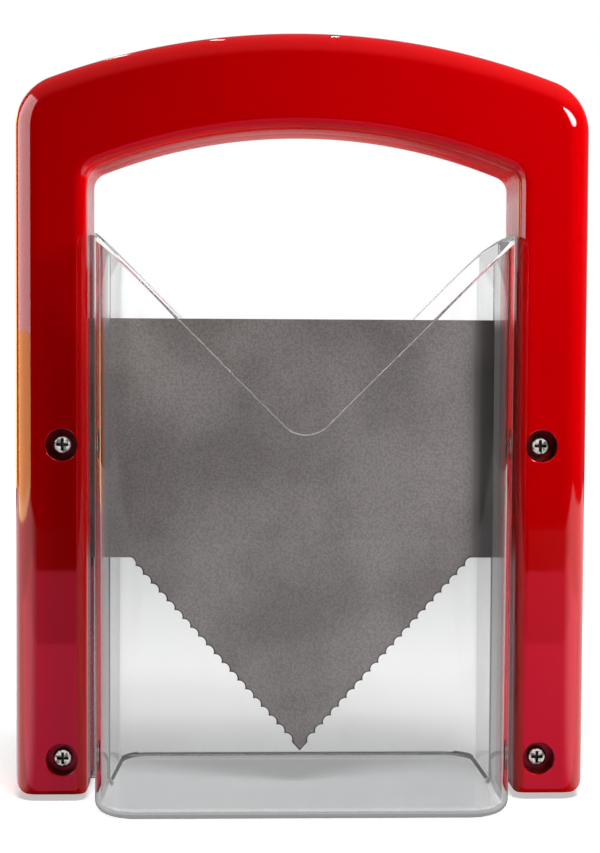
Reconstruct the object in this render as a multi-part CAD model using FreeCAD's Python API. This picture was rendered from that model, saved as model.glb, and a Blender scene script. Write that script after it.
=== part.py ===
"""Guillotine bagel slicer: a clear holder and a red arched frame that carries a V blade down into it.

Millimetres. X runs across the legs, Y from front to back, Z up from the table.
The origin lies on the table, in the middle of the holder's base.
"""
import FreeCAD
import Part
import math
import os

V = FreeCAD.Vector

# Frame: two moulded half shells, screwed together on the plane Y = 0
FRAME_WIDTH = 176.0
FRAME_TOP = 235.0
FRAME_DEPTH = 29.0
LEG_WIDTH = 22.4
LEG_BOTTOM = 2.0
HANDLE_HEIGHT = 29.5
ARCH_TOP_RADIUS = 221.0
ARCH_UNDER_RADIUS = 170.0
SHOULDER_RADIUS = 16.5
GRIP_CORNER_RADIUS = 5.0
FOOT_OUTER_RADIUS = 4.5
FOOT_INNER_RADIUS = 1.5
OUTER_EDGE_RADIUS = 7.5
INNER_EDGE_RADIUS = 4.0
SHELL_WALL = 2.5
RIB_THICKNESS = 1.8
LEG_RIB_COUNT = 5
ARCH_RIB_COUNT = 4

# Locating pegs along the handle
PEG_DIAMETER = 4.0
PEG_LENGTH = 4.0
PEG_PITCH = 42.0
PEG_CLEARANCE = 0.15

# Blade: one coated plate, clamped between the shells
BLADE_THICKNESS = 1.0
BLADE_TOP = 148.0
BLADE_SHOULDER = 73.3
BLADE_TIP = 12.0
BLADE_TANG = 14.4
EDGE_SPAN = 109.0
SCALLOP_PITCH = 3.7
SCALLOP_DEPTH = 1.1
BEVEL_WIDTH = 0.4
TANG_CORNER_RADIUS = 3.0
BLADE_HOLE_CLEARANCE = 0.3
POCKET_CLEARANCE = 0.3

# Screws: pan heads in counterbores on the front
SCREW_INSET = 7.7
SCREW_UPPER = 109.2
SCREW_LOWER = 12.6
HEAD_DIAMETER = 6.0
HEAD_HEIGHT = 2.2
HEAD_CROWN = 0.9
HEAD_RECESS = 2.4
SHANK_DIAMETER = 3.0
SHANK_CLEARANCE = 0.2
PILOT_CLEARANCE = 0.03
SCREW_GRIP = 9.0
SCREW_POINT = 2.0
CROSS_LENGTH = 3.4
CROSS_WIDTH = 0.9
CROSS_DEPTH = 1.3
COUNTERBORE_DIAMETER = 9.8
BOSS_WALL = 2.0
PILOT_SPARE = 1.0

# Holder: one clear moulding, open at the top, slotted at both sides for the blade
HOLDER_HEIGHT = 173.5
HOLDER_DEPTH_BASE = 75.0
HOLDER_DEPTH_RIM = 83.4
HOLDER_SIDE_GAP = 1.9
HOLDER_SIDE_TAPER = 3.5
HOLDER_CORNER_RADIUS = 13.0
HOLDER_WALL = 1.8
HOLDER_FLOOR = 1.8
HOLDER_BASE_RADIUS = 3.6
NOTCH_WIDTH = 126.0
NOTCH_BOTTOM = 113.9
NOTCH_RADIUS = 8.5
SLOT_CLEARANCE = 0.4

# Rails of the holder, in the grooves of the legs
RAIL_REACH = 3.6
RAIL_THICKNESS = 2.0
RAIL_BOTTOM = 4.0
GROOVE_CLEARANCE = 0.3
STOP_GAP = 0.2

# Places that follow from the sizes above
HALF_WIDTH = FRAME_WIDTH / 2
HALF_DEPTH = FRAME_DEPTH / 2
LEG_INNER = HALF_WIDTH - LEG_WIDTH
GRIP_TOP = FRAME_TOP - HANDLE_HEIGHT
BLADE_HALF = BLADE_THICKNESS / 2
TANG_END = LEG_INNER + BLADE_TANG
SCREW_X = LEG_INNER + SCREW_INSET
SCREW_PLACES = {
    "upper_left": (-SCREW_X, SCREW_UPPER),
    "upper_right": (SCREW_X, SCREW_UPPER),
    "lower_left": (-SCREW_X, SCREW_LOWER),
    "lower_right": (SCREW_X, SCREW_LOWER),
}
HEAD_SEAT = -HALF_DEPTH + HEAD_RECESS + HEAD_HEIGHT
HOLDER_HALF_WIDTH = LEG_INNER - HOLDER_SIDE_GAP
SLOT_HALF = BLADE_HALF + SLOT_CLEARANCE
RAIL_HALF = SLOT_HALF + RAIL_THICKNESS
RAIL_END = LEG_INNER + RAIL_REACH
GROOVE_HALF = RAIL_HALF + GROOVE_CLEARANCE
GROOVE_FLOOR = RAIL_END + GROOVE_CLEARANCE
GROOVE_TOP = HOLDER_HEIGHT + STOP_GAP
MARGIN = 1.0


def block(x0, x1, y0, y1, z0, z1):
    """A box between two corners, given in any order."""
    low = V(min(x0, x1), min(y0, y1), min(z0, z1))
    return Part.makeBox(abs(x1 - x0), abs(y1 - y0), abs(z1 - z0), low)


def rod(x, z, radius, y0, y1):
    """A cylinder that lies along Y."""
    return Part.makeCylinder(radius, y1 - y0, V(x, y0, z), V(0, 1, 0))


def prism(points, along):
    """A flat outline, drawn out along a vector."""
    return Part.Face(Part.makePolygon(points + points[:1])).extrude(along)


def arched_prism(half_width, bottom, top, arch_radius, corner_radius, y0, y1):
    """An upright slab with straight sides, rounded shoulders and an arched top."""
    arch_centre = top - arch_radius
    shoulder_x = half_width - corner_radius
    rise = math.sqrt((arch_radius - corner_radius) ** 2 - shoulder_x ** 2)
    shoulder_z = arch_centre + rise
    lean = math.atan2(rise, shoulder_x)
    touch_x = arch_radius * math.cos(lean)
    touch_z = arch_centre + arch_radius * math.sin(lean)
    mid_x = shoulder_x + corner_radius * math.cos(lean / 2)
    mid_z = shoulder_z + corner_radius * math.sin(lean / 2)
    right_foot = V(half_width, y0, bottom)
    right_side = V(half_width, y0, shoulder_z)
    right_touch = V(touch_x, y0, touch_z)
    left_touch = V(-touch_x, y0, touch_z)
    left_side = V(-half_width, y0, shoulder_z)
    left_foot = V(-half_width, y0, bottom)
    edges = [
        Part.makeLine(left_foot, right_foot),
        Part.makeLine(right_foot, right_side),
        Part.Arc(right_side, V(mid_x, y0, mid_z), right_touch).toShape(),
        Part.Arc(right_touch, V(0, y0, top), left_touch).toShape(),
        Part.Arc(left_touch, V(-mid_x, y0, mid_z), left_side).toShape(),
        Part.makeLine(left_side, left_foot),
    ]
    return Part.Face(Part.Wire(edges)).extrude(V(0, y1 - y0, 0))


def edges_on_plane(solid, y, keep):
    """The edges that lie on the plane at y and pass the test."""
    close = 1e-4
    found = []
    for edge in solid.Edges:
        box = edge.BoundBox
        if abs(box.YMin - y) < close and abs(box.YMax - y) < close and keep(box):
            found.append(edge)
    return found


def frame_blank(inset):
    """The front half of the frame, or with an inset its cavity, which stays sharp round the window."""
    front = -(HALF_DEPTH - inset)
    foot = LEG_BOTTOM + inset
    near = 1e-3
    blank = arched_prism(HALF_WIDTH - inset, foot, FRAME_TOP - inset, ARCH_TOP_RADIUS - inset,
                         SHOULDER_RADIUS - inset, front, 0)
    rim = edges_on_plane(blank, front, lambda box: box.ZMax > foot + near)
    if OUTER_EDGE_RADIUS > inset:
        blank = blank.makeFillet(OUTER_EDGE_RADIUS - inset, rim)
    window_half = LEG_INNER + inset
    window = arched_prism(window_half, foot - MARGIN, GRIP_TOP + inset, ARCH_UNDER_RADIUS + inset,
                          GRIP_CORNER_RADIUS + inset, front - MARGIN, MARGIN)
    blank = blank.cut(window)
    if inset:
        return blank
    rim = edges_on_plane(blank, front,
                         lambda box: max(-box.XMin, box.XMax) < window_half + near)
    return blank.makeFillet(INNER_EDGE_RADIUS, rim)


def foot_rounding(side):
    """What is cut from one leg's foot to round its outer and inner corners."""
    cuts = []
    corners = ((HALF_WIDTH, -1, FOOT_OUTER_RADIUS), (LEG_INNER, 1, FOOT_INNER_RADIUS))
    for edge_x, inward, radius in corners:
        centre_x = side * (edge_x + inward * radius)
        outside_x = side * (edge_x - inward * MARGIN)
        corner = block(outside_x, centre_x, -HALF_DEPTH - MARGIN, MARGIN,
                       LEG_BOTTOM - MARGIN, LEG_BOTTOM + radius)
        cuts.append(corner.cut(rod(centre_x, LEG_BOTTOM + radius, radius,
                                   -HALF_DEPTH - 2 * MARGIN, 2 * MARGIN)))
    return cuts


def arch_height(radius, top, x):
    """Height of an arch of this radius and crown at x."""
    return top - radius + math.sqrt(radius ** 2 - x ** 2)


def handle_middle(x):
    """Height of the middle of the handle bar at x."""
    upper = arch_height(ARCH_TOP_RADIUS, FRAME_TOP, x)
    lower = arch_height(ARCH_UNDER_RADIUS, GRIP_TOP, x)
    return (upper + lower) / 2


def peg_places():
    """The three locating pegs, along the middle of the handle."""
    return [(x, handle_middle(x)) for x in (-PEG_PITCH, 0, PEG_PITCH)]


def shell_ribs():
    """Stiffening webs across the legs and the handle, up to the faces of the blade."""
    ribs = []
    span = GRIP_TOP - LEG_BOTTOM
    for side in (-1, 1):
        for number in range(1, LEG_RIB_COUNT + 1):
            height = LEG_BOTTOM + span * number / (LEG_RIB_COUNT + 1)
            ribs.append(block(side * LEG_INNER, side * HALF_WIDTH, -HALF_DEPTH, -BLADE_HALF,
                              height - RIB_THICKNESS / 2, height + RIB_THICKNESS / 2))
    for number in range(ARCH_RIB_COUNT):
        x = 2 * LEG_INNER * ((number + 0.5) / ARCH_RIB_COUNT - 0.5)
        ribs.append(block(x - RIB_THICKNESS / 2, x + RIB_THICKNESS / 2, -HALF_DEPTH, -BLADE_HALF,
                          LEG_BOTTOM, FRAME_TOP))
    return ribs


def hollow_half():
    """The front half shell with its ribs and rail grooves, before anything of the screws."""
    solid_half = frame_blank(0)
    for side in (-1, 1):
        solid_half = solid_half.cut(foot_rounding(side))
    shell = solid_half.cut(frame_blank(SHELL_WALL))
    inside = shell_ribs()
    for side in (-1, 1):
        inside.append(block(side * LEG_INNER, side * (GROOVE_FLOOR + SHELL_WALL),
                            -GROOVE_HALF - SHELL_WALL, 0, LEG_BOTTOM, GROOVE_TOP + SHELL_WALL))
    return solid_half, shell, inside


def blade_and_rail_cuts():
    """The grooves for the holder's rails and the pockets that take the blade's ends."""
    cuts = []
    for side in (-1, 1):
        mouth = side * (LEG_INNER - MARGIN)
        cuts.append(block(mouth, side * GROOVE_FLOOR, -GROOVE_HALF, GROOVE_HALF,
                          LEG_BOTTOM - MARGIN, GROOVE_TOP))
        cuts.append(block(mouth, side * (TANG_END + POCKET_CLEARANCE), -BLADE_HALF, BLADE_HALF,
                          BLADE_SHOULDER - POCKET_CLEARANCE, BLADE_TOP + POCKET_CLEARANCE))
    return cuts


def front_shell():
    """The front half of the frame, with the counterbored screw posts and the pegs."""
    solid_half, shell, inside = hollow_half()
    cuts = blade_and_rail_cuts()
    shank_hole = SHANK_DIAMETER / 2 + SHANK_CLEARANCE
    for x, z in SCREW_PLACES.values():
        inside.append(rod(x, z, COUNTERBORE_DIAMETER / 2 + BOSS_WALL, -HALF_DEPTH, 0))
        cuts.append(rod(x, z, COUNTERBORE_DIAMETER / 2, -HALF_DEPTH - MARGIN, HEAD_SEAT))
        cuts.append(rod(x, z, shank_hole, HEAD_SEAT - MARGIN, MARGIN))
    for x, z in peg_places():
        inside.append(rod(x, z, PEG_DIAMETER / 2 + BOSS_WALL, -HALF_DEPTH, 0))
    shell = shell.fuse([piece.common(solid_half) for piece in inside]).cut(cuts)
    pegs = [rod(x, z, PEG_DIAMETER / 2, -MARGIN, PEG_LENGTH) for x, z in peg_places()]
    return shell.fuse(pegs).removeSplitter()


def rear_shell():
    """The rear half of the frame, with blind pilot holes for the screws and sockets for the pegs."""
    solid_half, shell, inside = hollow_half()
    cuts = blade_and_rail_cuts()
    pilot = SHANK_DIAMETER / 2 + PILOT_CLEARANCE
    depth = SCREW_GRIP + PILOT_SPARE
    for x, z in SCREW_PLACES.values():
        inside.append(rod(x, z, pilot + BOSS_WALL, -HALF_DEPTH, 0))
        cuts.append(rod(x, z, pilot, -depth, MARGIN))
    socket = PEG_DIAMETER / 2 + PEG_CLEARANCE
    for x, z in peg_places():
        inside.append(rod(x, z, socket + BOSS_WALL, -HALF_DEPTH, 0))
        cuts.append(rod(x, z, socket, -PEG_LENGTH - PEG_CLEARANCE, MARGIN))
    shell = shell.fuse([piece.common(solid_half) for piece in inside]).cut(cuts).removeSplitter()
    return shell.mirror(V(0, 0, 0), V(0, 1, 0))


def blade():
    """The coated plate: a V edge of ground scallops below, a screw hole in each end."""
    half_span = EDGE_SPAN / 2
    outline = [(-TANG_END, BLADE_TOP), (TANG_END, BLADE_TOP), (TANG_END, BLADE_SHOULDER),
               (half_span, BLADE_SHOULDER), (0, BLADE_TIP), (-half_span, BLADE_SHOULDER),
               (-TANG_END, BLADE_SHOULDER)]
    plate = prism([V(x, -BLADE_HALF, z) for x, z in outline], V(0, BLADE_THICKNESS, 0))
    ends = [edge for edge in plate.Edges
            if edge.BoundBox.XLength < 1e-4 and edge.BoundBox.ZLength < 1e-4
            and abs(abs(edge.BoundBox.Center.x) - TANG_END) < 1e-3]
    plate = plate.makeFillet(TANG_CORNER_RADIUS, ends)
    hole = SHANK_DIAMETER / 2 + BLADE_HOLE_CLEARANCE
    cuts = [rod(side * SCREW_X, SCREW_UPPER, hole, -BLADE_THICKNESS, BLADE_THICKNESS)
            for side in (-1, 1)]
    return plate.cut(cuts).cut(scallop_cutters())


def scallop_cutters():
    """Cones along both halves of the V, up to a plain tip: wider in front, so each has a ground bevel."""
    half_span = EDGE_SPAN / 2
    drop = BLADE_SHOULDER - BLADE_TIP
    length = math.hypot(half_span, drop)
    count = round(length / SCALLOP_PITCH)
    pitch = length / count
    overlap = 1.03
    half_chord = overlap * pitch / 2
    radius = (half_chord ** 2 + SCALLOP_DEPTH ** 2) / (2 * SCALLOP_DEPTH)
    standoff = radius - SCALLOP_DEPTH
    slope = BEVEL_WIDTH / BLADE_THICKNESS
    start = -BLADE_THICKNESS
    reach = 2 * BLADE_THICKNESS
    front_radius = radius + slope * (BLADE_HALF - start)
    cutters = []
    for side in (-1, 1):
        for number in range(count - 1):
            along = (number + 0.5) / count
            x = half_span * (1 - along) + standoff * drop / length
            z = BLADE_SHOULDER - drop * along - standoff * half_span / length
            cutters.append(Part.makeCone(front_radius, front_radius - slope * reach, reach,
                                         V(side * x, start, z), V(0, 1, 0)))
    return cutters


def screw(x, z):
    """A pan-head screw with a cross recess, seated in its counterbore."""
    head = Part.makeCylinder(HEAD_DIAMETER / 2, HEAD_HEIGHT, V(0, 0, 0), V(0, -1, 0))
    crown = [edge for edge in head.Edges if abs(edge.BoundBox.YMax + HEAD_HEIGHT) < 1e-4]
    head = head.makeFillet(HEAD_CROWN, crown)
    shank_length = SCREW_GRIP - HEAD_SEAT - SCREW_POINT
    shank = rod(0, 0, SHANK_DIAMETER / 2, 0, shank_length)
    point = Part.makeCone(SHANK_DIAMETER / 2, SHANK_DIAMETER / 8, SCREW_POINT,
                          V(0, shank_length, 0), V(0, 1, 0))
    long, wide = CROSS_LENGTH / 2, CROSS_WIDTH / 2
    floor = -HEAD_HEIGHT + CROSS_DEPTH
    top = -HEAD_HEIGHT - MARGIN
    cross = [block(-long, long, top, floor, -wide, wide), block(-wide, wide, top, floor, -long, long)]
    whole = head.fuse([shank, point]).cut(cross).removeSplitter()
    whole.translate(V(x, HEAD_SEAT, z))
    return whole


def holder_half_depth(z):
    """Half the holder's depth at height z, which grows towards the rim."""
    return (HOLDER_DEPTH_BASE + (HOLDER_DEPTH_RIM - HOLDER_DEPTH_BASE) * z / HOLDER_HEIGHT) / 2


def tub(inset, floor, top):
    """The holder's form from floor to top, with its walls moved inwards by inset."""
    taper = math.radians(HOLDER_SIDE_TAPER)
    middle = HOLDER_HALF_WIDTH - inset / math.cos(taper)
    reach = HOLDER_DEPTH_RIM
    end = middle - reach * math.tan(taper)
    plan = [(middle, 0), (end, reach), (-end, reach), (-middle, 0), (-end, -reach), (end, -reach)]
    low = holder_half_depth(floor) - inset
    high = holder_half_depth(top) - inset
    side = [(-low, floor), (low, floor), (high, top), (-high, top)]
    upright = prism([V(x, y, floor) for x, y in plan], V(0, 0, top - floor))
    form = upright.common(prism([V(-middle, y, z) for y, z in side], V(2 * middle, 0, 0)))
    corners = [edge for edge in form.Edges
               if edge.BoundBox.ZLength > MARGIN and abs(edge.BoundBox.Center.y) > MARGIN]
    form = form.makeFillet(HOLDER_CORNER_RADIUS - inset, corners)
    base = [edge for edge in form.Edges if abs(edge.BoundBox.ZMax - floor) < 1e-4]
    if HOLDER_BASE_RADIUS > inset:
        form = form.makeFillet(HOLDER_BASE_RADIUS - inset, base)
    return form


def notch_cutter():
    """The V that is cut through the front and rear walls, with a round bottom."""
    rim_x = NOTCH_WIDTH / 2
    centre_z = NOTCH_BOTTOM + NOTCH_RADIUS
    rise = HOLDER_HEIGHT - centre_z
    reach = math.hypot(rim_x, rise)
    lean = math.atan2(rise, rim_x) - math.acos(NOTCH_RADIUS / reach)
    touch_x = NOTCH_RADIUS * math.cos(lean)
    touch_z = centre_z + NOTCH_RADIUS * math.sin(lean)
    y = -HOLDER_DEPTH_RIM
    above = HOLDER_HEIGHT + MARGIN
    right_rim, left_rim = V(rim_x, y, HOLDER_HEIGHT), V(-rim_x, y, HOLDER_HEIGHT)
    right_touch, left_touch = V(touch_x, y, touch_z), V(-touch_x, y, touch_z)
    edges = [
        Part.makeLine(right_rim, right_touch),
        Part.Arc(right_touch, V(0, y, NOTCH_BOTTOM), left_touch).toShape(),
        Part.makeLine(left_touch, left_rim),
        Part.makeLine(left_rim, V(-rim_x, y, above)),
        Part.makeLine(V(-rim_x, y, above), V(rim_x, y, above)),
        Part.makeLine(V(rim_x, y, above), right_rim),
    ]
    return Part.Face(Part.Wire(edges)).extrude(V(0, 2 * HOLDER_DEPTH_RIM, 0))


def bagel_holder():
    """The clear moulding: drafted walls with V notches, side slots for the blade, rails for the legs."""
    walls = tub(0, 0, HOLDER_HEIGHT).cut(tub(HOLDER_WALL, HOLDER_FLOOR, HOLDER_HEIGHT + MARGIN))
    walls = walls.cut(notch_cutter())
    rails = []
    slots = []
    for side in (-1, 1):
        rails.append(block(side * (HOLDER_HALF_WIDTH - HOLDER_WALL / 2), side * RAIL_END,
                           -RAIL_HALF, RAIL_HALF, RAIL_BOTTOM, HOLDER_HEIGHT))
        slots.append(block(side * (HOLDER_HALF_WIDTH - 2 * HOLDER_WALL), side * (RAIL_END + MARGIN),
                           -SLOT_HALF, SLOT_HALF, HOLDER_FLOOR, HOLDER_HEIGHT + MARGIN))
    return walls.fuse(rails).cut(slots).removeSplitter()


def build():
    """Every piece of the slicer, by name."""
    pieces = {
        "bagel_holder": bagel_holder(),
        "frame_front_shell": front_shell(),
        "frame_rear_shell": rear_shell(),
        "blade": blade(),
    }
    for place, (x, z) in SCREW_PLACES.items():
        pieces["screw_" + place] = screw(x, z)
    return pieces


os.makedirs("parts", exist_ok=True)
for name, shape in build().items():
    print(name, shape.ShapeType, len(shape.Solids), "valid", shape.isValid(), "mm3", round(shape.Volume))
    shape.exportStep("parts/" + name + ".step")
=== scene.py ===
"""Looks of the guillotine bagel slicer: its moulded frame, clear holder, coated blade, screws and stage."""
import math
from functools import partial

import bpy
from bpy.props import FloatProperty, FloatVectorProperty, IntProperty, PointerProperty
from mathutils import Matrix, Vector


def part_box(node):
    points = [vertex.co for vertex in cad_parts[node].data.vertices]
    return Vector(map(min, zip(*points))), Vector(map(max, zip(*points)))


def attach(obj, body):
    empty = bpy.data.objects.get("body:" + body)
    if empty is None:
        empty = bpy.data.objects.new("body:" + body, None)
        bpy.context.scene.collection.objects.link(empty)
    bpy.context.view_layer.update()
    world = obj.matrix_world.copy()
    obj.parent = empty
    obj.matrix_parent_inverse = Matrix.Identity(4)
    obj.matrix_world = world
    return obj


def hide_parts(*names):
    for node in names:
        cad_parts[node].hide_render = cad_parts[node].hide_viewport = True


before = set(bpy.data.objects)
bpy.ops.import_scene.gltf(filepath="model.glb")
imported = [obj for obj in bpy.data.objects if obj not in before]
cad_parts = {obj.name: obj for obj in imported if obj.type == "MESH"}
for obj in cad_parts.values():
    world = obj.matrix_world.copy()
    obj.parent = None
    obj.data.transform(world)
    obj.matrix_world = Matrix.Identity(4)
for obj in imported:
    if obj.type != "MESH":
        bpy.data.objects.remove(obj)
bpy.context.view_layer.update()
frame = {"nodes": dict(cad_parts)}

bl_info = {
    "name": "Bagel Slicer",
    "version": (1, 0, 0),
    "blender": (4, 5, 0),
    "location": "3D View > Sidebar > Bagel Slicer",
    "description": "Models and finishes the pieces of a guillotine bagel slicer around its CAD frame",
    "category": "Add Mesh",
}

MM = 0.001
NEAR = 0.02 * MM

# Places that the CAD frame gives
SHELL_LOW, SHELL_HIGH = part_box("frame_front_shell")
HOLDER_LOW, HOLDER_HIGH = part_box("bagel_holder")
BLADE_LOW, BLADE_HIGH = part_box("blade")
SCREW_NODES = [name for name in sorted(frame["nodes"]) if name.startswith("screw_")]
FRAME_HALF_WIDTH = SHELL_HIGH.x
FRAME_FRONT = SHELL_LOW.y
FRAME_TOP = SHELL_HIGH.z
FRAME_BOTTOM = SHELL_LOW.z
HOLDER_TOP = HOLDER_HIGH.z
RAIL_END = HOLDER_HIGH.x

# Heights and places at which a finish changes: the painted sheen on the legs, the painted glow in the
# holder's walls and the painted shadow on the blade's right end
SHEEN_BELOW = (70 * MM, 84 * MM)
SHEEN_FROM = (161 * MM, 166 * MM)
SHEEN_TO = (184 * MM, 190 * MM)
BESIDE_BLADE = (30 * MM, 80 * MM)
ABOVE_BLADE = (144 * MM, 152 * MM)
PAINTED_SHADOW_END = (52.5 * MM, 55 * MM)

# Optical values and shades of the materials, among them the painted sheen of the legs, the painted shade of
# the holder and the grain and painted shadow tone of the blade
PLASTIC_IOR = 1.5
CAUGHT_AFTER = 4
PAINTED_SHEEN_PINK = (0.62, 0.3, 0.32)
PAINTED_SHADE_DARK = (0.02, 0.02, 0.02)
GRAIN_AND_SHADOW_TONE = (0.45, 0.45, 0.45)
DIRT = (0.11, 0.08, 0.065)

# The camera, the table and the tints of the lamps
SENSOR_HEIGHT = 36
TABLE_SIZE = (2.4, 2.0)
TABLE_MIDDLE = 0.45
TABLE_DROP = 0.2 * MM
TABLE_CARD = (2.2, 1.6)
CARD_LIFT = 0.3 * MM
CRIMSON = (1, 0.06, 0.17)
WOOD = (1, 0.76, 0.27)
AMBER = (1, 0.6, 0.15)

# Roundings that the sizes leave out, and steps in the drawn curves
RECESS_ROUNDING = 0.3 * MM
SCREW_ROUNDING = 0.06 * MM
ARCH_STEPS = 110
SHOULDER_STEPS = 20
GRIP_STEPS = 14
FOOT_STEPS = 12
RECESS_STEPS = 72
NOTCH_STEPS = 40
TANG_STEPS = 8
SCALLOP_STEPS = 9
CROWN_STEPS = 8
SCREW_STEPS = 48


def length(name, description, millimetres):
    """A size that a user may change."""
    return FloatProperty(name=name, description=description, default=millimetres * MM, unit="LENGTH")


def angle(name, description, degrees):
    """An angle that a user may change."""
    return FloatProperty(name=name, description=description, default=math.radians(degrees), subtype="ANGLE")


def colour(name, description, red, green, blue):
    """A colour that a user may change."""
    return FloatVectorProperty(name=name, description=description, default=(red, green, blue),
                               subtype="COLOR", min=0, max=1)


def ready():
    """Leaves edit mode and deselects everything."""
    if bpy.context.object and bpy.context.object.mode != "OBJECT":
        bpy.ops.object.mode_set(mode="OBJECT")
    bpy.ops.object.select_all(action="DESELECT")


def edit():
    """Goes into edit mode."""
    bpy.ops.object.mode_set(mode="EDIT")


def select_all():
    """Selects the whole mesh in edit mode."""
    bpy.ops.mesh.select_all(action="SELECT")


def take_up(piece):
    """Makes one piece the only selected and active object."""
    ready()
    piece.select_set(True)
    bpy.context.view_layer.objects.active = piece


def named(name):
    """Names the new object and its mesh."""
    piece = bpy.context.object
    piece.name = name
    piece.data.name = name
    return piece


def pen_down(name, x, y, z):
    """Starts an outline: one vertex, selected in edit mode."""
    ready()
    bpy.ops.mesh.primitive_plane_add(size=MM)
    piece = named(name)
    edit()
    bpy.ops.mesh.select_mode(type="VERT")
    select_all()
    bpy.ops.mesh.merge(type="CENTER")
    bpy.ops.transform.translate(value=(x, y, z))
    return piece


def draw(dx, dz, dy=0):
    """Draws a straight stretch from the pen's vertex."""
    bpy.ops.mesh.extrude_region_move(TRANSFORM_OT_translate={"value": (dx, dy, dz)})


def draw_arc(x, y, z, angle, steps):
    """Draws an arc round a centre, anticlockwise as seen from the front."""
    bpy.ops.mesh.spin(steps=steps, angle=angle, center=(x, y, z), axis=(0, 1, 0))


def fill_and_extrude(depth):
    """Closes the drawn outline, fills it and pulls it to a slab along Y."""
    select_all()
    bpy.ops.mesh.remove_doubles(threshold=NEAR / 4)
    bpy.ops.mesh.edge_face_add()
    bpy.ops.mesh.extrude_region_move(TRANSFORM_OT_translate={"value": (0, depth, 0)})
    face_outwards()


def face_outwards():
    """Turns every face of the mesh in edit mode outwards."""
    select_all()
    bpy.ops.mesh.normals_make_consistent(inside=False)


def pick_edges(piece, test):
    """Selects the edges whose two ends pass the test, in edit mode."""
    take_up(piece)
    mesh = piece.data
    mesh.polygons.foreach_set("select", [False] * len(mesh.polygons))
    mesh.vertices.foreach_set("select", [False] * len(mesh.vertices))
    for edge in mesh.edges:
        edge.select = test(*(mesh.vertices[number].co for number in edge.vertices))
    bpy.context.tool_settings.mesh_select_mode = (False, True, False)
    edit()


def pick_faces(piece, test):
    """Selects the faces whose centre and normal pass the test, in edit mode."""
    take_up(piece)
    mesh = piece.data
    mesh.vertices.foreach_set("select", [False] * len(mesh.vertices))
    mesh.edges.foreach_set("select", [False] * len(mesh.edges))
    for face in mesh.polygons:
        face.select = test(face.center, face.normal)
    bpy.context.tool_settings.mesh_select_mode = (False, False, True)
    edit()


def round_edges(piece, radius, segments, test):
    """Rounds the edges whose two ends pass the test."""
    pick_edges(piece, test)
    bpy.ops.mesh.bevel(offset=radius, offset_type="OFFSET", segments=segments, profile=0.5,
                       affect="EDGES", clamp_overlap=False, loop_slide=True)
    bpy.ops.object.mode_set(mode="OBJECT")


def block(name, x0, x1, y0, y1, z0, z1):
    """A box between two corners, given in any order."""
    ready()
    middle = ((x0 + x1) / 2, (y0 + y1) / 2, (z0 + z1) / 2)
    bpy.ops.mesh.primitive_cube_add(size=1, location=middle,
                                    scale=(abs(x1 - x0), abs(y1 - y0), abs(z1 - z0)))
    bpy.ops.object.transform_apply(location=True, rotation=True, scale=True)
    return named(name)


def apply_modifier(piece, kind, **settings):
    """Adds a modifier with its settings and applies it."""
    take_up(piece)
    modifier = piece.modifiers.new(kind.lower(), kind)
    for key, value in settings.items():
        setattr(modifier, key, value)
    bpy.ops.object.modifier_apply(modifier=modifier.name)


def carve(piece, tool, operation="DIFFERENCE"):
    """Cuts a tool out of a piece, or joins it on, and throws the tool away."""
    apply_modifier(piece, "BOOLEAN", object=tool, operation=operation, solver="EXACT")
    bpy.data.objects.remove(tool, do_unlink=True)


def smooth(piece, degrees=32):
    """Shades the rounded edges smooth and keeps the flat faces flat."""
    take_up(piece)
    bpy.ops.object.shade_smooth_by_angle(angle=math.radians(degrees))
    apply_modifier(piece, "WEIGHTED_NORMAL", mode="FACE_AREA", weight=50, keep_sharp=True)


def settle(piece, body, node, material):
    """Gives a finished piece its material and its place in the part."""
    piece.data.materials.clear()
    piece.data.materials.append(material)
    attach(piece, body)
    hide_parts(node)


def second_finish(piece, material, test):
    """Gives the faces that pass the test a second material."""
    piece.data.materials.append(material)
    pick_faces(piece, test)
    piece.active_material_index = len(piece.data.materials) - 1
    bpy.ops.object.material_slot_assign()
    ready()


class FrameSizes(bpy.types.PropertyGroup):
    """Sizes and colour of the moulded red frame."""
    leg_width: length("Leg Width", "Width of each leg, seen from the front", 22.4)
    handle_height: length("Handle Height", "Height of the handle bar in the middle", 29.5)
    arch_top_radius: length("Arch Top Radius", "Radius of the top of the handle", 221)
    arch_under_radius: length("Arch Under Radius", "Radius of the underside of the handle", 170)
    shoulder_radius: length("Shoulder Radius", "Rounding of the frame's upper corners", 16.5)
    grip_corner_radius: length("Grip Corner Radius", "Rounding of the upper corners of the window", 5)
    foot_outer_radius: length("Foot Outer Radius", "Rounding of the outer corner of each foot", 4.5)
    foot_inner_radius: length("Foot Inner Radius", "Rounding of the inner corner of each foot", 1.5)
    outer_edge_radius: length("Outer Edge Radius", "Rounding of the outer rim", 7.5)
    inner_edge_radius: length("Inner Edge Radius", "Rounding of the rim of the window", 4)
    parting_bevel: length("Parting Bevel", "Softening of the edges where the half shells meet", 0.2)
    groove_width: length("Groove Width", "Width of the groove that takes the holder's rail", 6.4)
    groove_gap: length("Groove Gap", "Room round the holder's rail in the groove", 0.3)
    stop_gap: length("Stop Gap", "Room between the rail's top and the end of the groove", 0.2)
    counterbore: length("Counterbore", "Diameter of the recess round each screw head", 9.8)
    red: colour("Red", "Colour of the moulded plastic", 0.56, 0.0, 0.001)


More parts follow.
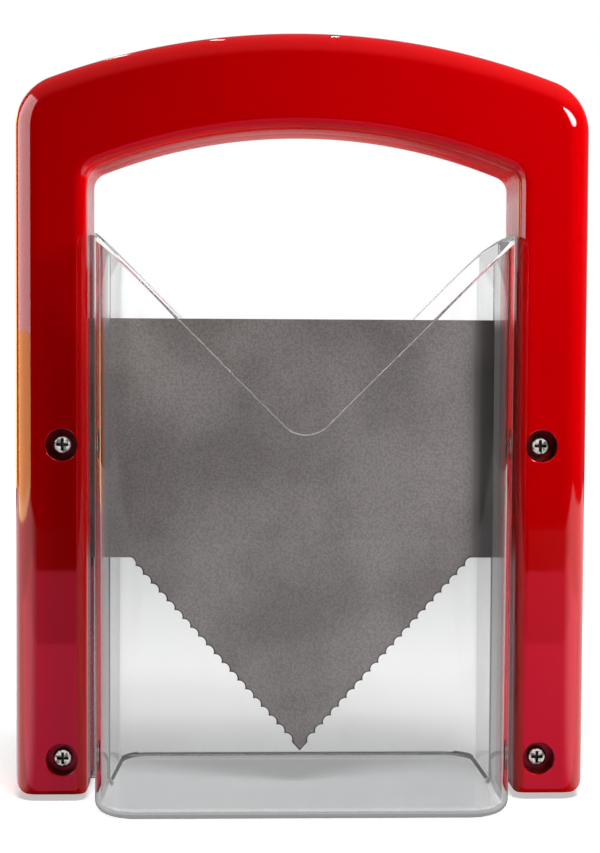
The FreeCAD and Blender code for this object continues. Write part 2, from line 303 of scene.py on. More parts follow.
class HolderSizes(bpy.types.PropertyGroup):
    """Sizes of the clear holder."""
    half_width: length("Half Width", "From the middle to the holder's side, at the slot", 63.7)
    base_depth: length("Base Depth", "Depth of the holder at its base", 75)
    rim_depth: length("Rim Depth", "Depth of the holder at its rim", 83.4)
    side_taper: angle("Side Taper", "How far the sides draw in to the front", 3.5)
    corner_radius: length("Corner Radius", "Rounding of the upright corners", 13)
    base_radius: length("Base Radius", "Rounding round the base", 3.6)
    wall: length("Wall", "Thickness of walls and floor", 1.8)
    notch_width: length("Notch Width", "Width of the V notch at the rim", 126)
    notch_bottom: length("Notch Bottom", "Height of the bottom of the V notch", 113.9)
    notch_radius: length("Notch Radius", "Rounding of the bottom of the V notch", 8.5)
    slot_width: length("Slot Width", "Width of the slot that lets the blade through", 1.8)
    rail_width: length("Rail Width", "Width over both rails at a slot", 5.8)
    rail_bottom: length("Rail Bottom", "Height at which the rails begin", 4)
    rim_rounding: length("Rim Rounding", "Rounding of the rim of the V notch", 0.8)
    edge_rounding: length("Edge Rounding", "Softening of the slots, the rails and the top", 0.35)


class ScrewSizes(bpy.types.PropertyGroup):
    """Sizes of the four pan-head screws."""
    head_diameter: length("Head Diameter", "Diameter of the head", 6)
    head_height: length("Head Height", "Height of the head", 2.2)
    crown: length("Crown", "Rounding of the head", 0.9)
    shank: length("Shank", "Diameter of the shank", 3)
    point: length("Point", "Length of the point", 2)
    cross_length: length("Cross Length", "Length of the cross recess", 4.5)
    cross_width: length("Cross Width", "Width of each arm of the recess", 1.1)
    cross_depth: length("Cross Depth", "Depth of the recess", 1.5)
    colour: colour("Plating", "Colour of the plating", 0.86, 0.82, 0.78)


class BladeSizes(bpy.types.PropertyGroup):
    """Sizes and colours of the coated blade."""
    shoulder: length("Shoulder", "Height of the blade's shoulders", 73.3)
    edge_span: length("Edge Span", "Width of the V at the shoulders", 109)
    tang_corner: length("Tang Corner", "Rounding of the four corners of the plate", 3)
    scallops: IntProperty(name="Scallops", description="Scallops along each side of the V", default=21, min=1)
    scallop_depth: length("Scallop Depth", "How far each scallop bites into the edge", 1.1)
    ground_width: length("Ground Width", "Width of the ground edge", 0.4)
    coating: colour("Coating", "Colour of the non-stick coating", 0.165, 0.145, 0.141)
    worn: colour("Worn", "Colour of the rubbed patches of the coating", 0.235, 0.212, 0.206)
    # The ground edge's near-black colour is painted shade
    ground: colour("Ground", "Colour of the ground edge", 0.035, 0.033, 0.033)


class StageLooks(bpy.types.PropertyGroup):
    """Camera and floor."""
    camera_place: FloatVectorProperty(name="Camera", description="Where the camera stands", subtype="XYZ",
                                      unit="LENGTH", default=(-0.01767, -0.51022, 0.13654))
    camera_pan: angle("Pan", "Turn of the camera to the right", 1.94)
    camera_tilt: angle("Tilt", "Lean of the camera downwards", 2.48)
    camera_roll: angle("Roll", "Roll of the camera", 0.29)
    lens: FloatProperty(name="Lens", description="Focal length in millimetres on a 36 mm tall sensor",
                        default=68.76)
    floor: colour("Floor", "Colour of the table", 0.86, 0.86, 0.86)


def sizes():
    """The groups of sizes that hold the user's values."""
    return bpy.context.scene.bagel_slicer


class SlicerSizes(bpy.types.PropertyGroup):
    """All that a user may change."""
    frame: PointerProperty(type=FrameSizes)
    holder: PointerProperty(type=HolderSizes)
    screws: PointerProperty(type=ScrewSizes)
    blade: PointerProperty(type=BladeSizes)
    stage: PointerProperty(type=StageLooks)


def new_group(name, values, result):
    """A shader node group with named sockets: it takes a place and some values, and gives one value."""
    group = bpy.data.node_groups.new(name, "ShaderNodeTree")
    group.interface.new_socket("Vector", in_out="INPUT", socket_type="NodeSocketVector")
    for socket, value in values.items():
        item = group.interface.new_socket(socket, in_out="INPUT", socket_type="NodeSocketFloat")
        item.default_value = value
    group.interface.new_socket(result, in_out="OUTPUT", socket_type="NodeSocketFloat")
    return group, group.nodes.new("NodeGroupInput").outputs, group.nodes.new("NodeGroupOutput").inputs


def feed(tree, socket, value):
    """Links a socket to another one, or sets it to a number or a colour."""
    if isinstance(value, bpy.types.NodeSocket):
        tree.links.new(value, socket)
    else:
        socket.default_value = value


def dress(tree, node, looks):
    """Feeds the named sockets of a node."""
    for name, value in looks.items():
        feed(tree, node.inputs[name], value)


def add_node(tree, kind, **values):
    """A node with its settings, and with what feeds the sockets that are named in capitals."""
    node = tree.nodes.new(kind)
    for key, value in values.items():
        if key in node.inputs:
            feed(tree, node.inputs[key], value)
        else:
            setattr(node, key, value)
    return node


def sums(tree, operation, *values):
    """The result of a sum; each value is a number or a socket."""
    node = add_node(tree, "ShaderNodeMath", operation=operation)
    for socket, value in zip(node.inputs, values):
        feed(tree, socket, value)
    return node.outputs["Value"]


def chain(tree, operation, first, *others):
    """The result of one sum done with several values in turn."""
    for value in others:
        first = sums(tree, operation, first, value)
    return first


def between(tree, value, low, high, to_low, to_high, ease="SMOOTHSTEP"):
    """A value that goes from one level to another while its input goes from low to high."""
    node = add_node(tree, "ShaderNodeMapRange", interpolation_type=ease)
    dress(tree, node, {"Value": value, "From Min": low, "From Max": high, "To Min": to_low,
                       "To Max": to_high})
    return node.outputs["Result"]


def spread(tree, mask, low, high):
    """A mask turned into values from low to high."""
    return between(tree, mask, 0, 1, low, high, ease="LINEAR")


def either(tree, choice, first, second):
    """The second value where the choice is one, otherwise the first."""
    node = add_node(tree, "ShaderNodeMix", data_type="FLOAT", Factor=choice, A=first, B=second)
    return node.outputs["Result"]


def axes(tree, place):
    """The X, Y and Z of a place."""
    split = add_node(tree, "ShaderNodeSeparateXYZ", Vector=place)
    return tuple(split.outputs[axis] for axis in "XYZ")


def noise(tree, place, scale, detail):
    """Soft clouds, as a value round one half."""
    return add_node(tree, "ShaderNodeTexNoise", Scale=scale, Detail=detail, Vector=place).outputs["Fac"]


def mix_colours(tree, mask, first, second, blend="MIX"):
    """One colour turning into another by a mask; the first may be a socket."""
    if not isinstance(first, bpy.types.NodeSocket):
        first = (*first, 1)
    node = add_node(tree, "ShaderNodeMix", data_type="RGBA", blend_type=blend, Factor=mask, A=first,
                    B=(*second, 1))
    return node.outputs["Result"]


def glow(tree, strength):
    """White light of a given strength, as a shader."""
    return add_node(tree, "ShaderNodeEmission", Strength=strength).outputs["Emission"]


def mix_shaders(tree, share, first, second):
    """One shader turning into another by a share."""
    node = add_node(tree, "ShaderNodeMixShader", Fac=share)
    for socket, shader in zip(node.inputs[1:], (first, second)):
        tree.links.new(shader, socket)
    return node.outputs["Shader"]


def moulded_grain():
    """Shared effect: a fine pebbled grain over a slow waviness, as a height."""
    if "Moulded Grain" in bpy.data.node_groups:
        return bpy.data.node_groups["Moulded Grain"]
    group, given, out = new_group(
        "Moulded Grain", {"Grain Scale": 1500.0, "Wave Scale": 40.0, "Wave Share": 0.5}, "Height")
    grain = add_node(group, "ShaderNodeTexVoronoi", feature="F1", Vector=given["Vector"],
                     Scale=given["Grain Scale"])
    wave = add_node(group, "ShaderNodeTexNoise", Detail=2.0, Roughness=0.5, Vector=given["Vector"],
                    Scale=given["Wave Scale"])
    feed(group, out["Height"],
         either(group, given["Wave Share"], grain.outputs["Distance"], wave.outputs["Fac"]))
    return group


def handling_marks():
    """Shared effect: a mask of faint smudges and hairline scratches."""
    if "Handling Marks" in bpy.data.node_groups:
        return bpy.data.node_groups["Handling Marks"]
    group, given, out = new_group(
        "Handling Marks", {"Smudge Scale": 30.0, "Scratch Scale": 90.0, "Scratch Share": 0.3}, "Mask")
    smudge = add_node(group, "ShaderNodeTexNoise", Detail=5.0, Roughness=0.62, Vector=given["Vector"],
                      Scale=given["Smudge Scale"])
    turn = add_node(group, "ShaderNodeMapping", Vector=given["Vector"], Rotation=(0.3, 0.7, 0.2),
                    Scale=(1, 1, 14))
    scratch = add_node(group, "ShaderNodeTexNoise", Detail=3.0, Roughness=0.55, Vector=turn.outputs["Vector"],
                       Scale=given["Scratch Scale"])
    patches = between(group, smudge.outputs["Fac"], 0.52, 0.78, 0, 1, ease="LINEAR")
    hairs = between(group, scratch.outputs["Fac"], 0.66, 0.72, 0, 1, ease="LINEAR")
    total = sums(group, "ADD", patches, sums(group, "MULTIPLY", hairs, given["Scratch Share"]))
    total.node.use_clamp = True
    feed(group, out["Mask"], total)
    return group


def start_material(name):
    """A material with its shader, its tree and the piece's own coordinates."""
    material = bpy.data.materials.get(name) or bpy.data.materials.new(name)
    material.use_nodes = True
    tree = material.node_tree
    tree.nodes.clear()
    surface = tree.nodes.new("ShaderNodeBsdfPrincipled")
    output = tree.nodes.new("ShaderNodeOutputMaterial")
    tree.links.new(surface.outputs["BSDF"], output.inputs["Surface"])
    place = tree.nodes.new("ShaderNodeTexCoord").outputs["Object"]
    return material, tree, surface, output, place


def place_group(tree, group, place, **values):
    """A shared effect, placed in a material with its own values."""
    node = tree.nodes.new("ShaderNodeGroup")
    node.node_tree = group
    for key, value in values.items():
        node.inputs[key.replace("_", " ").title()].default_value = value
    tree.links.new(place, node.inputs["Vector"])
    return node


def marks_on(tree, place, smudge, scratch, share):
    """The mask of handling marks, at a material's own scales."""
    return place_group(tree, handling_marks(), place, smudge_scale=smudge, scratch_scale=scratch,
                       scratch_share=share).outputs["Mask"]


def grain_on(tree, place, grain, wave, share):
    """The height of the moulded grain, at a material's own scales."""
    return place_group(tree, moulded_grain(), place, grain_scale=grain, wave_scale=wave,
                       wave_share=share).outputs["Height"]


def roughen(tree, surface, height, strength, distance):
    """Feeds a height to the shader's normal."""
    bump = add_node(tree, "ShaderNodeBump", Strength=strength, Distance=distance, Height=height)
    tree.links.new(bump.outputs["Normal"], surface.inputs["Normal"])


def red_gloss_plastic():
    """High-gloss red moulding with a trace of flow, handling marks, and a pale pink sheen painted on the
    legs' inner walls.
    """
    material, tree, surface, output, place = start_material("red_gloss_plastic")
    red = Vector(sizes().frame.red)
    tint = mix_colours(tree, noise(tree, place, 22.0, 3.0), red * 0.9, red * 1.1)
    marks = marks_on(tree, place, smudge=24.0, scratch=60.0, share=0.25)
    x, y, up = axes(tree, place)
    aside = sums(tree, "ABSOLUTE", x)
    leg_inner = FRAME_HALF_WIDTH - sizes().frame.leg_width
    on_wall = between(tree, aside, leg_inner + 0.05 * MM, leg_inner + 0.5 * MM, 0.8, 0)
    off_handle = between(tree, aside, leg_inner - 0.6 * MM, leg_inner - 0.3 * MM, 0, 1)
    upper = chain(tree, "MULTIPLY", between(tree, up, *SHEEN_FROM, 0, 1),
                  between(tree, up, *SHEEN_TO, 1, 0), off_handle)
    ends = sums(tree, "MAXIMUM", between(tree, up, *SHEEN_BELOW, 1, 0), upper)
    # Painted sheen: pale pink on the legs' inner walls, low down and near the top
    rubbed = mix_colours(tree, sums(tree, "MULTIPLY", on_wall, ends), tint, PAINTED_SHEEN_PINK)
    dress(tree, surface, {"Base Color": rubbed, "Roughness": spread(tree, marks, 0.03, 0.07),
                          "IOR": PLASTIC_IOR})
    roughen(tree, surface, grain_on(tree, place, grain=350.0, wave=25.0, share=0.97), 0.01, 0.1 * MM)
    return material


def recess_painted_shade():
    """The same red plastic in the screw recesses, duller, and made much darker as painted shade."""
    material, tree, surface, output, place = start_material("recess_painted_shade")
    marks = marks_on(tree, place, smudge=400.0, scratch=600.0, share=0.3)
    red = Vector(sizes().frame.red)
    # Painted shade: the red falls to a fifth and less in the recesses
    dress(tree, surface, {"Base Color": mix_colours(tree, marks, red * 0.2, red * 0.08),
                          "Roughness": spread(tree, marks, 0.35, 0.6)})
    return material


def holder_painted_shade(tree, place):
    """A mask of painted shade on the holder: a dark line along the rear of its floor, and its slots, rails
    and front skirt made darker.
    """
    size = sizes().holder
    x, y, up = axes(tree, place)
    aside, near = sums(tree, "ABSOLUTE", x), sums(tree, "ABSOLUTE", y)
    floor, half = size.wall, size.half_width
    mid_wall = size.base_depth / 2 - size.wall / 2
    untapered = sums(tree, "MULTIPLY_ADD", near, math.tan(size.side_taper), aside)
    line = chain(tree, "MULTIPLY",
                 between(tree, up, floor + 0.02 * MM, floor + 0.15 * MM, 0, 1),
                 between(tree, up, floor + 0.95 * MM, floor + 1.2 * MM, 1, 0),
                 between(tree, y, 0, 4 * MM, 0, 0.97),
                 between(tree, y, mid_wall - 0.2 * MM, mid_wall + 0.2 * MM, 1, 0),
                 between(tree, untapered, half - 1.1 * MM, half - 0.7 * MM, 1, 0))
    slot = sums(tree, "MULTIPLY", between(tree, near, size.slot_width, 1.5 * size.slot_width, 0.65, 0),
                between(tree, aside, half - 2.4 * size.wall, half - 1.5 * size.wall, 0, 1))
    rail = between(tree, aside, half + 0.1 * MM, half + 0.5 * MM, 0, 0.1)
    front = size.base_radius - size.base_depth / 2
    skirt = sums(tree, "MULTIPLY", between(tree, y, front - 1.5 * MM, front, 1, 0),
                 between(tree, up, 2.5 * MM, 3.6 * MM, 0.2, 0))
    return chain(tree, "MAXIMUM", line, skirt, slot, rail)


def clear_plastic():
    """Clear moulded plastic with handling marks, painted shade and a painted glow, which lets the lamps'
    light through.
    """
    material, tree, surface, output, place = start_material("clear_plastic")
    marks = marks_on(tree, place, smudge=35.0, scratch=80.0, share=0.5)
    clear = mix_colours(tree, marks, (0.985, 0.99, 0.99), (0.95, 0.955, 0.955))
    # Painted shade: the holder's rear floor line, slots, rails and front skirt turn dark
    painted_dark = mix_colours(tree, holder_painted_shade(tree, place), clear, PAINTED_SHADE_DARK, "MULTIPLY")
    dress(tree, surface, {"Base Color": painted_dark, "Roughness": spread(tree, marks, 0.0, 0.01),
                          "IOR": PLASTIC_IOR, "Transmission Weight": 1.0})
    # Painted glow: a ray that has bounced more than CAUGHT_AFTER times sees the walls glow, painted by
    # height: grey at the base, dark beside the blade's place and pale above it
    x, y, up = axes(tree, place)
    painted_glow = sums(tree, "ADD", between(tree, up, *BESIDE_BLADE, 0.35, 0.15),
                  between(tree, up, *ABOVE_BLADE, 0, 0.85))
    path = tree.nodes.new("ShaderNodeLightPath").outputs
    is_caught = sums(tree, "GREATER_THAN", path["Ray Depth"], CAUGHT_AFTER)
    seen = mix_shaders(tree, is_caught, surface.outputs["BSDF"], glow(tree, painted_glow))
    through = add_node(tree, "ShaderNodeBsdfTransparent", Color=(0.86, 0.86, 0.87, 1))
    tree.links.new(mix_shaders(tree, path["Is Shadow Ray"], seen, through.outputs["BSDF"]),
                   output.inputs["Surface"])
    return material


def blade_coating():
    """Grey non-stick coating: pebbled like leather, rubbed in soft patches, with a painted shadow making its
    right end darker.
    """
    material, tree, surface, output, place = start_material("blade_coating")
    looks = sizes().blade
    marks = marks_on(tree, place, smudge=14.0, scratch=40.0, share=0.1)
    grain = grain_on(tree, place, grain=1350.0, wave=160.0, share=0.2)
    x, y, z = axes(tree, place)
    # The grain deepens its pits, and a painted shadow of the right leg darkens the blade's right end
    grain_and_shadow = sums(tree, "MAXIMUM", between(tree, grain, 0.15, 0.75, 0, 0.6),
                    between(tree, x, *PAINTED_SHADOW_END, 0, 0.8))
    patches = between(tree, noise(tree, place, 26.0, 2.0), 0.36, 0.62, 0, 1)
    coating = mix_colours(tree, patches, looks.coating, looks.worn)
    dress(tree, surface, {"Base Color": mix_colours(tree, grain_and_shadow, coating, GRAIN_AND_SHADOW_TONE, "MULTIPLY"),
                          "Roughness": spread(tree, marks, 0.5, 0.4)})
    roughen(tree, surface, grain, 0.5, 0.15 * MM)
    return material


def ground_steel():
    """Steel along the ground cutting edge, made near black as painted shade, with the marks of the wheel; it
    is also the painted shade in the screws' cross recesses.
    """
    material, tree, surface, output, place = start_material("ground_steel")
    marks = marks_on(tree, place, smudge=300.0, scratch=700.0, share=0.6)
    ground = Vector(sizes().blade.ground)
    dress(tree, surface, {"Base Color": mix_colours(tree, marks, ground, ground * 1.8),
                          "Roughness": spread(tree, marks, 0.35, 0.5), "Metallic": 1.0})
    return material


def plated_steel():
    """Bright plating with turning marks and a little dirt."""
    material, tree, surface, output, place = start_material("plated_steel")
    marks = marks_on(tree, place, smudge=500.0, scratch=900.0, share=0.6)
    plating = Vector(sizes().screws.colour)
    dirty = between(tree, noise(tree, place, 850.0, 3.0), 0.44, 0.6, 0, 0.85)
    soiled = mix_colours(tree, dirty, mix_colours(tree, marks, plating, plating * 0.6), DIRT)
    dress(tree, surface, {"Base Color": soiled, "Roughness": spread(tree, marks, 0.16, 0.4), "Metallic": 1.0})
    roughen(tree, surface, grain_on(tree, place, grain=4000.0, wave=1200.0, share=0.6), 0.5, 0.1 * MM)
    return material


def arch_places(half_width, top, arch_radius, corner_radius):
    """Where an arch and its rounded corners touch: corner centre, arch centre and the lean of the touch."""
    arch_z = top - arch_radius
    corner_x = half_width - corner_radius
    rise = math.sqrt((arch_radius - corner_radius) ** 2 - corner_x ** 2)
    return corner_x, arch_z + rise, arch_z, math.atan2(rise, corner_x)


def arch_height(top, radius, x):
    """Height of an arch at x."""
    return top - radius + math.sqrt(radius ** 2 - x ** 2)


def draw_frame_outline(size):
    """Draws the frame's outline: up the left leg, over the top, and back under the handle."""
    y = FRAME_FRONT
    leg_inner = FRAME_HALF_WIDTH - size.leg_width
    grip_top = FRAME_TOP - size.handle_height
    outer = arch_places(FRAME_HALF_WIDTH, FRAME_TOP, size.arch_top_radius, size.shoulder_radius)
    inner = arch_places(leg_inner, grip_top, size.arch_under_radius, size.grip_corner_radius)
    piece = pen_down("frame_front_moulding", -FRAME_HALF_WIDTH, y, FRAME_BOTTOM)
    for (x, z, arch_z, lean), turn, steps in ((outer, -1, SHOULDER_STEPS), (inner, 1, GRIP_STEPS)):
        draw(0, z - FRAME_BOTTOM)
        draw_arc(turn * x, y, z, turn * lean, steps)
        draw_arc(0, y, arch_z, turn * (math.pi - 2 * lean), ARCH_STEPS)
        draw_arc(-turn * x, y, z, turn * lean, steps)
        draw(0, FRAME_BOTTOM - z)
        draw(-size.leg_width, 0)
    return piece


def foot_corner(edge_x, centre_x, radius):
    """A tool that rounds one lower corner of a leg."""
    out = math.copysign(MM, edge_x - centre_x)
    bottom = FRAME_BOTTOM
    tool = pen_down("foot_corner", centre_x, FRAME_FRONT - MM, bottom)
    draw_arc(centre_x, FRAME_FRONT - MM, bottom + radius, math.copysign(math.pi / 2, out), FOOT_STEPS)
    draw(out, 0)
    draw(0, -radius - MM)
    draw(centre_x - edge_x - out, 0)
    draw(0, MM)
    fill_and_extrude(2 * MM - FRAME_FRONT)
    ready()
    return tool


def frame_half(size):
    """The front half shell without its screw recesses: rims, feet, grooves and blade pocket."""
    leg_inner = FRAME_HALF_WIDTH - size.leg_width
    grip_top = FRAME_TOP - size.handle_height
    piece = draw_frame_outline(size)
    fill_and_extrude(-FRAME_FRONT)

    def on_window(a, b):
        x, z = (abs(a.x) + abs(b.x)) / 2, (a.z + b.z) / 2
        return x < leg_inner + NEAR and z < arch_height(grip_top, size.arch_under_radius, x) + NEAR

    def on_plane(a, b, y):
        upright = max(a.z, b.z) > FRAME_BOTTOM + NEAR
        return abs(a.y - y) < NEAR and abs(b.y - y) < NEAR and upright

    round_edges(piece, size.outer_edge_radius, 10,
                lambda a, b: on_plane(a, b, FRAME_FRONT) and not on_window(a, b))
    round_edges(piece, size.inner_edge_radius, 8,
                lambda a, b: on_plane(a, b, FRAME_FRONT) and on_window(a, b))
    round_edges(piece, size.parting_bevel, 2, lambda a, b: on_plane(a, b, 0))
    for side in (-1, 1):
        edge = side * FRAME_HALF_WIDTH
        carve(piece, foot_corner(edge, edge - side * size.foot_outer_radius, size.foot_outer_radius))
        edge = side * leg_inner
        carve(piece, foot_corner(edge, edge + side * size.foot_inner_radius, size.foot_inner_radius))
        half = size.groove_width / 2
        carve(piece, block("groove", edge - side * MM, side * (RAIL_END + size.groove_gap), -half, half,
                           FRAME_BOTTOM - MM, HOLDER_TOP + size.stop_gap))
        carve(piece, block("blade_pocket", edge, side * BLADE_HIGH.x, BLADE_LOW.y, BLADE_HIGH.y,
                           sizes().blade.shoulder, BLADE_HIGH.z))
    return piece


def screw_middle(node):
    """The middle of a screw's head, at its front."""
    low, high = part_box(node)
    return (low.x + high.x) / 2, low.y, (low.z + high.z) / 2


class SLICER_OT_frame(bpy.types.Operator):
    """Model the two half shells of the moulded frame"""
    bl_idname = "slicer.frame"
    bl_label = "Moulded Frame"

    def execute(self, context):
        size = sizes().frame
        front = frame_half(size)
        take_up(front)
        bpy.ops.object.duplicate()
        rear = named("frame_rear_moulding")
        edit()
        select_all()
        bpy.ops.transform.resize(value=(1, -1, 1), center_override=(0, 0, 0))
        face_outwards()
        ready()
        for node in SCREW_NODES:
            x, head_front, z = screw_middle(node)
            seat = head_front + sizes().screws.head_height
            radius = size.counterbore / 2
            bpy.ops.mesh.primitive_cylinder_add(vertices=RECESS_STEPS, radius=radius,
                                                depth=2 * (seat - FRAME_FRONT),
                                                location=(x, FRAME_FRONT, z), rotation=(math.pi / 2, 0, 0))
            bpy.ops.object.transform_apply(location=True, rotation=True, scale=True)
            carve(front, named("counterbore"))

            def on_recess(a, b):
                flat = abs(a.y - FRAME_FRONT) < NEAR and abs(b.y - FRAME_FRONT) < NEAR
                return flat and all(abs(math.hypot(v.x - x, v.z - z) - radius) < NEAR for v in (a, b))

            round_edges(front, RECESS_ROUNDING, 3, on_recess)
        material = red_gloss_plastic()
        for piece, node in ((front, "frame_front_shell"), (rear, "frame_rear_shell")):
            smooth(piece)
            settle(piece, "blade_frame", node, material)
        middles = [screw_middle(node) for node in SCREW_NODES]

        def in_recess(centre, normal):
            deep = FRAME_FRONT + RECESS_ROUNDING + NEAR / 2 < centre.y < -NEAR
            return deep and any(math.hypot(centre.x - x, centre.z - z) < size.counterbore / 2 + NEAR
                                for x, y, z in middles)

        # The faces inside the screw recesses get the painted shade
        second_finish(front, recess_painted_shade(), in_recess)
        return {"FINISHED"}


def cut_off(point, normal):
    """Cuts the mesh in edit mode along a plane and closes it, keeping what lies behind the plane."""
    select_all()
    bpy.ops.mesh.bisect(plane_co=point, plane_no=normal, use_fill=True, clear_outer=True, clear_inner=False)


def notch_places(size):
    """The V notch: half width at the rim, centre of its round bottom, lean of the touch and where it lies."""
    rim_x = size.notch_width / 2
    centre_z = size.notch_bottom + size.notch_radius
    rise = HOLDER_TOP - centre_z
    lean = math.atan2(rise, rim_x) - math.acos(size.notch_radius / math.hypot(rim_x, rise))
    touch_x = size.notch_radius * math.cos(lean)
    touch_z = centre_z + size.notch_radius * math.sin(lean)
    return rim_x, centre_z, lean, touch_x, touch_z


def notch_height(size, x):
    """Height of the notch's outline at x."""
    rim_x, centre_z, lean, touch_x, touch_z = notch_places(size)
    if abs(x) < touch_x:
        return centre_z - math.sqrt(size.notch_radius ** 2 - x ** 2)
    return touch_z + (abs(x) - touch_x) * (HOLDER_TOP - touch_z) / (rim_x - touch_x)


def notch_tool(size):
    """The V that is cut through the front and rear walls, with a round bottom."""
    rim_x, centre_z, lean, touch_x, touch_z = notch_places(size)
    y = -size.rim_depth
    tool = pen_down("notch", -rim_x, y, HOLDER_TOP)
    draw(rim_x - touch_x, touch_z - HOLDER_TOP)
    draw_arc(0, y, centre_z, math.pi + 2 * lean, NOTCH_STEPS)
    draw(rim_x - touch_x, HOLDER_TOP - touch_z)
    draw(0, MM)
    draw(-2 * rim_x, 0)
    draw(0, -MM)
    fill_and_extrude(2 * size.rim_depth)
    ready()
    return tool


class SLICER_OT_holder(bpy.types.Operator):
    """Model the clear holder with its notches, slots and rails"""
    bl_idname = "slicer.holder"
    bl_label = "Clear Holder"

    def execute(self, context):
        size = sizes().holder
        depth = size.rim_depth
        wide = size.half_width + MM
        piece = block("clear_holder", -wide, wide, -depth, depth, 0, HOLDER_TOP)
        edit()
        flare = (size.rim_depth - size.base_depth) / 2 / HOLDER_TOP
        lean = math.tan(size.side_taper)
        for end in (-1, 1):
            cut_off((0, end * size.base_depth / 2, 0), (0, end, -flare))
            for side in (-1, 1):
                cut_off((side * size.half_width, 0, 0), (side, end * lean, 0))
        face_outwards()
        inside_angle = math.pi / 2 + size.side_taper
        round_edges(piece, size.corner_radius / math.tan(inside_angle / 2), 20,
                    lambda a, b: abs(a.z - b.z) > HOLDER_TOP / 2 and abs(a.y) > 10 * MM)
        round_edges(piece, size.base_radius, 10, lambda a, b: max(a.z, b.z) < NEAR)
        pick_faces(piece, lambda centre, normal: normal.z > 0.9)
        bpy.ops.mesh.delete(type="FACE")
        apply_modifier(piece, "SOLIDIFY", thickness=size.wall, offset=-1, use_even_offset=True,
                       use_quality_normals=True)
        carve(piece, notch_tool(size))

        def on_notch(a, b):
            along = abs(a.y - b.y) < size.wall * 0.8 and min(abs(a.y), abs(b.y)) > size.base_depth / 3
            return along and all(abs(v.z - notch_height(size, v.x)) < 2 * NEAR for v in (a, b))

        round_edges(piece, size.rim_rounding, 5, on_notch)
        for side in (-1, 1):
            inner = side * (size.half_width - size.wall / 2)
            rail = size.rail_width / 2
            carve(piece, block("rail", inner, side * RAIL_END, -rail, rail, size.rail_bottom, HOLDER_TOP),
                  "UNION")
            slot = size.slot_width / 2
            carve(piece, block("slot", side * (size.half_width - 2 * size.wall), side * (RAIL_END + MM),
                               -slot, slot, size.wall, HOLDER_TOP + MM))

        def on_rail(a, b):
            return abs(a.z - b.z) > HOLDER_TOP / 3 and max(abs(a.y), abs(b.y)) < size.rail_width

        round_edges(piece, size.edge_rounding, 3, on_rail)
        smooth(piece)
        settle(piece, "holder", "bagel_holder", clear_plastic())
        return {"FINISHED"}


def draw_scallops(x, z, end_x, end_z, size):
    """Draws one side of the V: equal bites into the blade, with a cusp between each two and a plain tip."""
    places = size.scallops + 1
    pitch_x, pitch_z = (end_x - x) / places, (end_z - z) / places
    pitch = math.hypot(pitch_x, pitch_z)
    radius = (pitch ** 2 / 4 + size.scallop_depth ** 2) / (2 * size.scallop_depth)
    out = (radius - size.scallop_depth) / pitch
    turn = 2 * math.asin(pitch / 2 / radius)
    first = 0 if end_z < z else 1
    if first:
        draw(pitch_x, pitch_z)
    for number in range(first, first + size.scallops):
        middle_x, middle_z = x + (number + 0.5) * pitch_x, z + (number + 0.5) * pitch_z
        draw_arc(middle_x - out * pitch_z, BLADE_LOW.y, middle_z + out * pitch_x, turn,
                 SCALLOP_STEPS)
    if not first:
        draw(pitch_x, pitch_z)


def blade_plate(size):
    """The blade's plate: a wide top with rounded corners over a scalloped V."""
    y, top, tip = BLADE_LOW.y, BLADE_HIGH.z, BLADE_LOW.z
    corner = size.tang_corner
    end = BLADE_HIGH.x - corner
    side = top - size.shoulder - 2 * corner
    shoulder_x = size.edge_span / 2
    piece = pen_down("coated_blade", -end, y, top)
    draw(2 * end, 0)
    draw_arc(end, y, top - corner, -math.pi / 2, TANG_STEPS)
    draw(0, -side)
    draw_arc(end, y, size.shoulder + corner, -math.pi / 2, TANG_STEPS)
    draw(shoulder_x - end, 0)
    draw_scallops(shoulder_x, size.shoulder, 0, tip, size)
    draw_scallops(0, tip, -shoulder_x, size.shoulder, size)
    draw(shoulder_x - end, 0)
    draw_arc(-end, y, size.shoulder + corner, -math.pi / 2, TANG_STEPS)
    draw(0, side)
    draw_arc(-end, y, top - corner, -math.pi / 2, TANG_STEPS)
    fill_and_extrude(BLADE_HIGH.y - BLADE_LOW.y)
    ready()
    return piece


class SLICER_OT_blade(bpy.types.Operator):
    """Model the blade, grind its edge and coat it"""
    bl_idname = "slicer.blade"
    bl_label = "Coated Blade"

    def execute(self, context):
        size = sizes().blade
        piece = blade_plate(size)

        def cutting(a, b):
            front = max(a.y, b.y) < BLADE_LOW.y + NEAR
            low = max(a.z, b.z) < size.shoulder + size.scallop_depth
            return front and low and max(abs(a.x), abs(b.x)) < size.edge_span / 2 + NEAR

        round_edges(piece, size.ground_width, 1, cutting)
        smooth(piece)
        settle(piece, "blade_frame", "blade", blade_coating())

        def slanted(centre, normal):
            low = centre.z < size.shoulder + size.scallop_depth
            return low and normal.y < 0.9 and normal.y > -0.9 and abs(centre.x) < size.edge_span / 2

        # The ground edge gets the near-black steel as painted shade
        second_finish(piece, ground_steel(), slanted)
        return {"FINISHED"}


